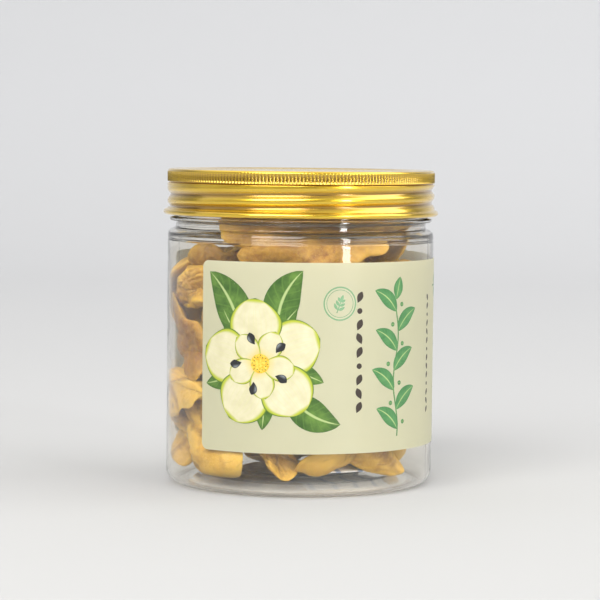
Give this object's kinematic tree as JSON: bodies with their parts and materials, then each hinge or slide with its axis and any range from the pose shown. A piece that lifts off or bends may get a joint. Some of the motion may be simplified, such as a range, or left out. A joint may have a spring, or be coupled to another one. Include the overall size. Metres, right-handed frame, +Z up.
{
  "type": "jar of soft dried soursop",
  "caption": "Clear round screw-top jar filled with curled pieces of soft dried soursop, with a gold aluminium screw lid and a wrap label.",
  "frame": {"origin": "centre of the ring that the jar stands on, at the level of the surface", "axes": "+Z up along the jar's axis; -Y towards the viewer, with the label's middle to the right of it and the clear strip between the label's ends at the left"},
  "size_m": [0.0876, 0.0876, 0.1],
  "materials": {
    "clear_pet": "clear glossy moulded plastic, about 0.6 mm thick in the wall",
    "gold_lid": "gold-lacquered aluminium sheet, satin, with a knurled band and a rolled thread",
    "foam_liner": "white foamed plastic",
    "label": "satin printed label, pale green cream with green and yellow fruit motifs",
    "dried_fruit": "soft, tacky, half-translucent dried fruit flesh, golden tan with brown folds",
    "sachet": "white non-woven sachet with plain blue stripes"
  },
  "bodies": {
    "jar": {"fruit_01": "dried_fruit", "fruit_02": "dried_fruit", "fruit_03": "dried_fruit", "fruit_04": "dried_fruit", "fruit_05": "dried_fruit", "fruit_06": "dried_fruit", "fruit_07": "dried_fruit", "fruit_08": "dried_fruit", "fruit_09": "dried_fruit", "fruit_10": "dried_fruit", "fruit_11": "dried_fruit", "fruit_12": "dried_fruit", "fruit_13": "dried_fruit", "fruit_14": "dried_fruit", "fruit_15": "dried_fruit", "fruit_16": "dried_fruit", "fruit_17": "dried_fruit", "fruit_18": "dried_fruit", "fruit_19": "dried_fruit", "fruit_20": "dried_fruit", "fruit_21": "dried_fruit", "fruit_22": "dried_fruit", "fruit_23": "dried_fruit", "fruit_24": "dried_fruit", "fruit_25": "dried_fruit", "fruit_26": "dried_fruit", "fruit_27": "dried_fruit", "fruit_28": "dried_fruit", "fruit_29": "dried_fruit", "fruit_30": "dried_fruit", "fruit_31": "dried_fruit", "fruit_32": "dried_fruit", "fruit_33": "dried_fruit", "fruit_34": "dried_fruit", "fruit_35": "dried_fruit", "fruit_36": "dried_fruit", "fruit_37": "dried_fruit", "jar": "clear_pet", "label": "label", "sachet": "sachet"},
    "liner": {"lid_liner": "foam_liner"},
    "lid": {"lid": "gold_lid"}
  },
  "joints": [
    {"name": "lid_rise", "type": "slide", "parent": "jar", "child": "liner", "axis": [0, 0, 1], "range_m": [0, 0.0049]},
    {"name": "lid_turn", "type": "hinge", "parent": "liner", "child": "lid", "pos_m": [0, 0, 0.0925], "axis": [0, 0, 1], "range_deg": [0, 450]}
  ],
  "couplings": [
    {"joint": "lid_rise", "follows": "lid_turn", "m_per_rad": 0.0006207}
  ]
}
